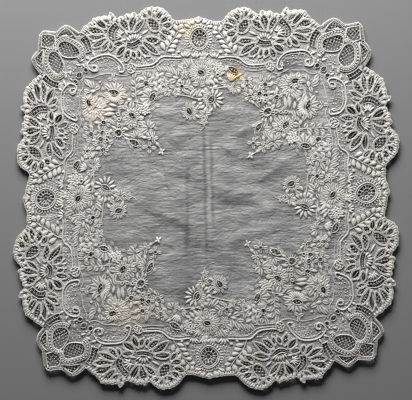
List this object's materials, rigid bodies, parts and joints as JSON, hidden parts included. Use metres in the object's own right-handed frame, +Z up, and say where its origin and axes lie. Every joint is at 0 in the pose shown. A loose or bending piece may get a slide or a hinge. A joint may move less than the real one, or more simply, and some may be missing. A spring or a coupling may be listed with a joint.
{
  "type": "handkerchief",
  "caption": "Square sheer handkerchief with a scalloped openwork border, lying flat, for dressing a table, drawer or pocket.",
  "frame": {"origin": "middle of the cloth's box, on the surface that it lies on", "axes": "+Z up out of the right side of the cloth, +X and +Y along its two sides"},
  "size_m": [0.4476, 0.444, 0.0029],
  "materials": {
    "lawn": "sheer white lawn with white cotton stitching, matt"
  },
  "bodies": {
    "root": {"handkerchief_lawn": "lawn"}
  },
  "joints": []
}
